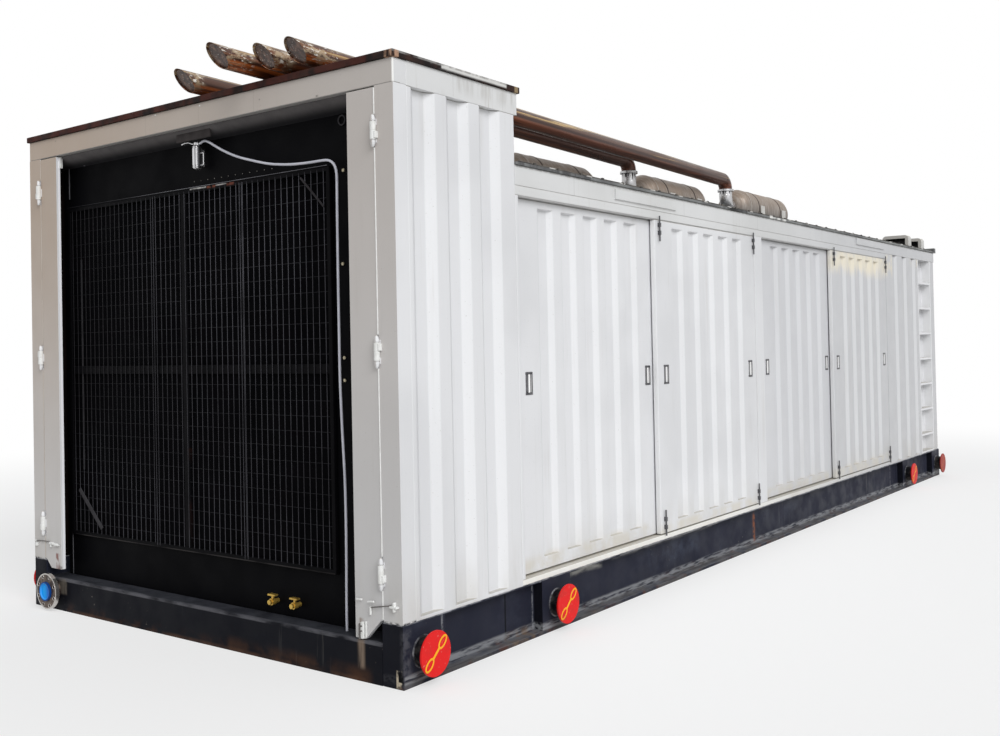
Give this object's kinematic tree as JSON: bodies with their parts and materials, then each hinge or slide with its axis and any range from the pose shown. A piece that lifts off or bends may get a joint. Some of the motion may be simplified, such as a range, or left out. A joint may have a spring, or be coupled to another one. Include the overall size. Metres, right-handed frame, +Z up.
{
  "type": "containerised gas generator set",
  "caption": "Skid-mounted gas generator set in a sound-proof steel enclosure, with a radiator end, sliding side doors, step ladders and roof silencers with exhaust pipes.",
  "frame": {"origin": "centre of the skid's underside", "axes": "+X from the radiator end to the rear, +Y from the near side to the far side, +Z up"},
  "size_m": [9.204, 3.154, 3.0028],
  "materials": {
    "enclosure_paint": "satin",
    "door_paint": "satin",
    "skid_paint": "satin",
    "deck_steel": "matte",
    "disc_red": "satin",
    "flange_steel": "matte",
    "cap_plastic": "matte",
    "roof_edge": "satin",
    "roof_sheet": "satin",
    "hood_paint": "satin",
    "radiator_paint": "satin",
    "core_black": "matte",
    "valve_brass": "polished",
    "bottle_steel": "polished",
    "hose_rubber": "matte",
    "exhaust_steel": "polished",
    "cover_film": "crinkled",
    "silencer_steel": "satin",
    "saddle_paint": "satin",
    "fitting_steel": "satin"
  },
  "bodies": {
    "base": {"skid_side_beams": "skid_paint", "skid_end_beams": "skid_paint", "skid_cross_members": "skid_paint", "floor_deck": "deck_steel", "lifting_trunnions": "skid_paint", "trunnion_discs": "disc_red", "gas_inlet_flange": "flange_steel", "inlet_cap": "cap_plastic", "corner_posts": "enclosure_paint", "end_flaps": "enclosure_paint", "tall_header_front": "enclosure_paint", "tall_header_sides": "enclosure_paint", "tall_roof": "roof_edge", "tall_walls": "enclosure_paint", "step_wall": "enclosure_paint", "side_headers": "enclosure_paint", "door_rails": "enclosure_paint", "door_sills": "enclosure_paint", "door_posts": "enclosure_paint", "rear_panels": "enclosure_paint", "ladder_bays": "enclosure_paint", "ladder_steps": "enclosure_paint", "rear_corner_posts": "enclosure_paint", "rear_wall": "enclosure_paint", "main_roof": "roof_sheet", "radiator_frame": "radiator_paint", "radiator_core": "core_black", "fan_guard": "radiator_paint", "drain_valves": "valve_brass", "vent_bottle": "bottle_steel", "vent_hose": "hose_rubber", "exhaust_pipes": "exhaust_steel", "exhaust_bends": "exhaust_steel", "mouth_covers": "cover_film", "silencers": "silencer_steel", "silencer_necks": "silencer_steel", "silencer_saddles": "saddle_paint", "roof_hoods": "hood_paint"},
    "near_door_1": {"near_door_1": "door_paint", "near_pulls_1": "fitting_steel"},
    "near_door_2": {"near_door_2": "door_paint", "near_pulls_2": "fitting_steel"},
    "near_door_3": {"near_door_3": "door_paint", "near_pulls_3": "fitting_steel"},
    "near_door_4": {"near_door_4": "door_paint", "near_pulls_4": "fitting_steel"},
    "far_door_1": {"far_door_1": "door_paint", "far_pulls_1": "fitting_steel"},
    "far_door_2": {"far_door_2": "door_paint", "far_pulls_2": "fitting_steel"},
    "far_door_3": {"far_door_3": "door_paint", "far_pulls_3": "fitting_steel"},
    "far_door_4": {"far_door_4": "door_paint", "far_pulls_4": "fitting_steel"}
  },
  "joints": [
    {"name": "near_door_1_slide", "type": "slide", "parent": "base", "child": "near_door_1", "axis": [1, 0, 0], "range_m": [0, 1.45]},
    {"name": "near_door_2_slide", "type": "slide", "parent": "base", "child": "near_door_2", "axis": [-1, 0, 0], "range_m": [0, 1.45]},
    {"name": "near_door_3_slide", "type": "slide", "parent": "base", "child": "near_door_3", "axis": [1, 0, 0], "range_m": [0, 1.45]},
    {"name": "near_door_4_slide", "type": "slide", "parent": "base", "child": "near_door_4", "axis": [-1, 0, 0], "range_m": [0, 1.45]},
    {"name": "far_door_1_slide", "type": "slide", "parent": "base", "child": "far_door_1", "axis": [1, 0, 0], "range_m": [0, 1.45]},
    {"name": "far_door_2_slide", "type": "slide", "parent": "base", "child": "far_door_2", "axis": [-1, 0, 0], "range_m": [0, 1.45]},
    {"name": "far_door_3_slide", "type": "slide", "parent": "base", "child": "far_door_3", "axis": [1, 0, 0], "range_m": [0, 1.45]},
    {"name": "far_door_4_slide", "type": "slide", "parent": "base", "child": "far_door_4", "axis": [-1, 0, 0], "range_m": [0, 1.45]}
  ]
}
